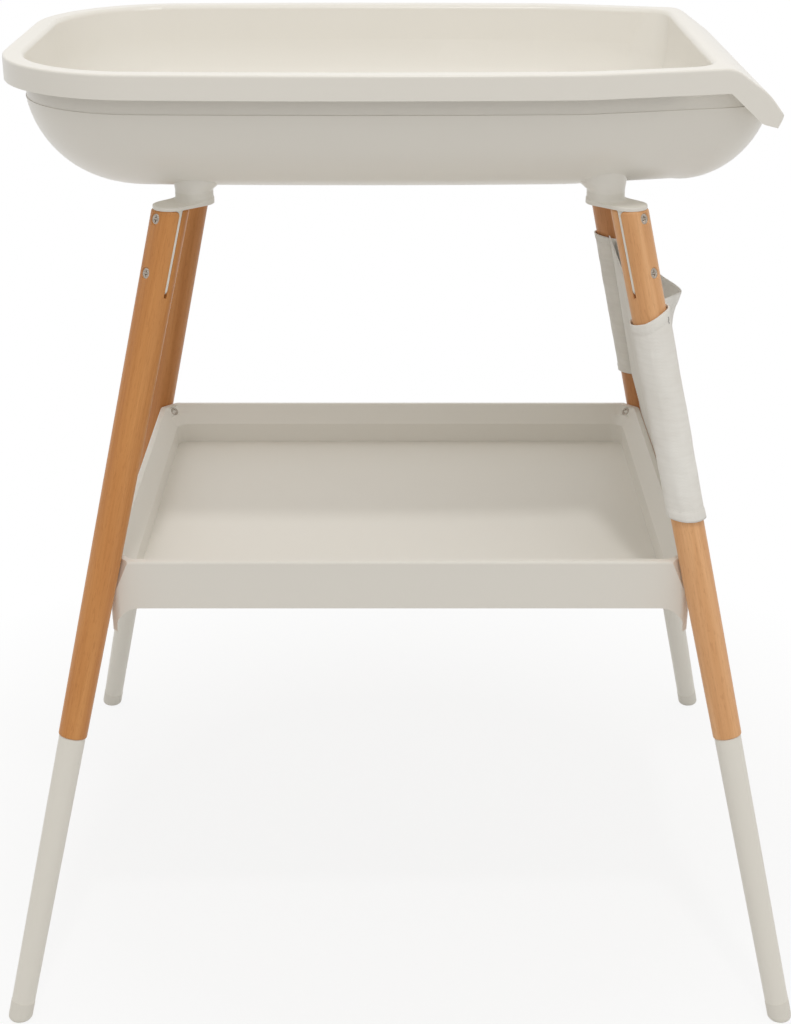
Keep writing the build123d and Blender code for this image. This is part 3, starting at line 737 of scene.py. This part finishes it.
def make_sleeve(side, corner, cloth, thread, mark):
    """Cloth round one right leg, with its hems' stitches and the bartack."""
    around, levels = 88, 96
    name = "pocket_sleeve_" + corner
    top, axis, _, _ = leg_frame(side)

    def outside(turn_share, share, lift=0):
        turn = 2 * pi * turn_share
        height = sleeve_bottom + (sleeve_edge(side, turn) - sleeve_bottom) * share
        return sleeve_point(side, turn, height, sleeve_lift(side, turn, share) + lift)

    def grid(lift):
        return [[outside(c / around, r / levels, lift) for c in range(around)]
                for r in range(levels + 1)]

    def is_outward(point, normal):
        away = (point - top) - axis * (point - top).dot(axis)
        return normal.dot(away) > 0

    obj = sheet_object(name + "_cloth", grid(0), grid(-sleeve_cloth), True, cloth)
    hem = hem_width / sleeve_length
    rows = [[(-side * c / around, share) for c in range(around + 1)] for share in (hem, 1 - hem)]
    paths = [surface_path(outside, row, is_outward) for row in rows]
    stitches = stitching(name + "_stitches", paths, thread)
    # Bartack where the pouch's mouth leaves the sleeve
    rows = []
    for k in range(tack_rows):
        middle, share = tack_turn + tack_stagger * (k % 2), tack_top - tack_pitch * k
        rows.append([(middle + end * tack_half_width, share) for end in (-1, 1)])
    paths = [surface_path(lambda a, b: outside(a, b, tack_lift), row, is_outward) for row in rows]
    tack = stitching(name + "_bartack", paths, mark, **tack_stitch)
    finish_sheet(obj, name, *sleeve_flat[side], ["leg_" + corner + "_right"], [stitches, tack])


def make_pouch(cloth, thread):
    """The pocket's outer cloth, with its stitches."""
    across, levels, turned, steps = 132, 92, 5, 130
    shares = [-foot_turn * (1 - k / turned) for k in range(turned)]
    shares += [k / levels for k in range(levels + 1)]
    # Columns stand closer together near the two seams
    columns = [-cos(pi * c / across) * seam_crowding + (2 * c / across - 1) * (1 - seam_crowding)
               for c in range(across + 1)]
    outer, inner = ([[pouch_point(u, v, lift) for u in columns] for v in shares]
                    for lift in (0, -pouch_cloth))
    obj = sheet_object("pocket_pouch_cloth", outer, inner, False, cloth)
    hem = 1 - mouth_hem_width / pocket_height
    foot = pouch_seam_foot
    rows = [[(seam_share * (2 * k / steps - 1), v) for k in range(steps + 1)]
            for v in (hem, foot)]
    rows += [[(side * seam_share, foot + (1 - foot) * k / steps) for k in range(steps)]
             for side in (-1, 1)]
    paths = [surface_path(pouch_point, row, lambda point, normal: normal.x > 0) for row in rows]
    stitches = stitching("pocket_pouch_stitches", paths, thread)
    finish_sheet(obj, "pocket_pouch", *pouch_flat,
                 ["pocket_sleeve_front", "pocket_sleeve_back"], [stitches])


def make_panel(cloth, thread):
    """The pocket's inner cloth, with its stitches."""
    across, levels, steps = 90, 64, 110
    outer, inner = ([[panel_point(2 * c / across - 1, k / levels, lift)
                      for c in range(across + 1)] for k in range(levels + 1)]
                    for lift in (0, -panel_cloth))
    obj = sheet_object("pocket_panel_cloth", outer, inner, False, cloth)
    hem = 1 - hem_width / pocket_height
    rows = [[(seam_share * (2 * k / steps - 1), hem) for k in range(steps + 1)]]
    rows += [[(side * seam_share, panel_seam_foot + panel_seam_run * k / steps)
              for k in range(steps)] for side in (-1, 1)]
    paths = [surface_path(panel_point, row, lambda point, normal: normal.x < 0) for row in rows]
    stitches = stitching("pocket_panel_stitches", paths, thread)
    finish_sheet(obj, "pocket_panel", *panel_flat,
                 ["pocket_sleeve_front", "pocket_sleeve_back"], [stitches])


# Studio

def area_light(name, place, target, size, power):
    """Square lamp aimed at a target."""
    data = bpy.data.lights.new(name, "AREA")
    data.shape = "RECTANGLE"
    data.size = data.size_y = size
    data.energy = power
    obj = bpy.data.objects.new(name, data)
    obj.location = place
    obj.rotation_euler = (Vector(target) - Vector(place)).to_track_quat("-Z", "Y").to_euler()
    bpy.context.scene.collection.objects.link(obj)


def camera_only(tree):
    """1 for the rays that see the background: camera, glossy and transmission."""
    path = tree.nodes.new("ShaderNodeLightPath")
    total = path.outputs["Is Camera Ray"]
    for name in ("Is Glossy Ray", "Is Transmission Ray"):
        node = tree.nodes.new("ShaderNodeMath")
        node.operation = "MAXIMUM"
        tree.links.new(total, node.inputs[0])
        tree.links.new(path.outputs[name], node.inputs[1])
        total = node.outputs[0]
    return total


def build_world():
    """White to the camera; as light on the object a soft sky that dims towards the horizon."""
    world = bpy.data.worlds.new("studio")
    bpy.context.scene.world = world
    world.use_nodes = True
    tree = world.node_tree
    tree.nodes.clear()
    out = tree.nodes.new("ShaderNodeOutputWorld")
    lit = tree.nodes.new("ShaderNodeBackground")
    lit.inputs["Color"].default_value = sky_colour
    coords = tree.nodes.new("ShaderNodeTexCoord")
    split = tree.nodes.new("ShaderNodeSeparateXYZ")
    tree.links.new(coords.outputs["Generated"], split.inputs[0])
    climb = tree.nodes.new("ShaderNodeMapRange")
    climb.interpolation_type = "SMOOTHSTEP"
    for key, number in (("From Min", horizon_height), ("From Max", zenith_height),
                        ("To Min", sky_strength * horizon_share), ("To Max", sky_strength)):
        climb.inputs[key].default_value = number
    tree.links.new(split.outputs["Z"], climb.inputs["Value"])
    tree.links.new(climb.outputs["Result"], lit.inputs["Strength"])
    seen = tree.nodes.new("ShaderNodeBackground")
    seen.inputs["Color"].default_value = plain_white
    seen.inputs["Strength"].default_value = 1
    mix = tree.nodes.new("ShaderNodeMixShader")
    tree.links.new(camera_only(tree), mix.inputs[0])
    tree.links.new(lit.outputs[0], mix.inputs[1])
    tree.links.new(seen.outputs[0], mix.inputs[2])
    tree.links.new(mix.outputs[0], out.inputs[0])


def build_floor():
    """Pale floor that keeps the shadow and fades to white away from the object."""
    data = bpy.data.meshes.new("floor")
    corners = [(x * floor_half, y * floor_half, 0) for x, y in ((-1, -1), (1, -1), (1, 1), (-1, 1))]
    data.from_pydata(corners, [], [(0, 1, 2, 3)])
    floor = bpy.data.objects.new("floor", data)
    bpy.context.scene.collection.objects.link(floor)
    n = Nodes("floor_paint")
    n.finish(Base_Color=(floor_grey, floor_grey, floor_grey, 1), Roughness=0.9,
             Specular_IOR_Level=0.1)
    glow = n.add("ShaderNodeEmission", Strength=1)
    distance = n.add("ShaderNodeVectorMath", operation="LENGTH")
    n.link(n.coords, distance.inputs[0])
    fade = n.remap(distance.outputs["Value"], floor_fade_start, floor_fade_end,
                   floor_white_near, 1)
    mix = n.add("ShaderNodeMixShader")
    n.link(n.math("MULTIPLY", fade, camera_only(n.tree)), mix.inputs[0])
    n.link(n.shader.outputs[0], mix.inputs[1])
    n.link(glow.outputs[0], mix.inputs[2])
    n.link(mix.outputs[0], n.tree.nodes["Material Output"].inputs["Surface"])
    data.materials.append(n.material)


def build_camera():
    """Camera that looks down at the object from the front."""
    data = bpy.data.cameras.new("camera")
    data.lens = camera_lens_mm
    data.sensor_width = camera_sensor_mm
    data.shift_x = camera_shift_x
    camera = bpy.data.objects.new("camera", data)
    camera.location = camera_place
    camera.rotation_euler = Euler((radians(90 - camera_pitch_deg), 0, 0))
    bpy.context.scene.collection.objects.link(camera)
    bpy.context.scene.camera = camera


tub_white = moulded("tub_white", srgb(236, 233, 226), 0.31, 1600, 0.00003)
tray_white = moulded("tray_white", srgb(233, 230, 223), 0.47, 1100, 0.00005)
paint_white = moulded("paint_white", srgb(232, 229, 221), 0.43, 900, 0.00004)
foot_white = moulded("foot_white", srgb(226, 223, 215), 0.55, 1200, 0.00006)
rubber_white = moulded("rubber_white", srgb(224, 221, 212), 0.6, 800, 0.00005)
steel = plated_steel("plated_steel")
cotton = canvas("cotton_canvas", srgb(243, 242, 238), srgb(236, 234, 229))
for node, material in (("tub", tub_white), ("drain_plug", rubber_white),
                       ("shelf_tray", tray_white), ("leg_studs", steel),
                       ("tub_screws", steel), ("shelf_screws", steel)):
    dress(node, material)
for index, (corner, side_x, side_y) in enumerate(corner_sides):
    wood = beech("beech_" + corner, side_x, side_y, beech_seed_step * index, *beech_tones_with_painted_light[corner])
    dress("leg_" + corner, wood)
    dress("bracket_" + corner, paint_white)
    dress("lower_leg_" + corner, paint_white)
    dress("foot_cap_" + corner, foot_white)

make_leg_screws(steel)
make_shelf_heads(steel)
thread = canvas_thread("seam_thread", srgb(238, 235, 228))
mark = canvas_thread("bartack_thread", srgb(168, 166, 164))
make_sleeve(-1, "front", cotton, thread, mark)
make_sleeve(1, "back", cotton, thread, mark)
make_pouch(cotton, thread)
make_panel(cotton, thread)

build_camera()
build_world()
build_floor()
for lamp in lamps:
    area_light(*lamp)
bpy.context.scene.view_settings.view_transform = "Standard"
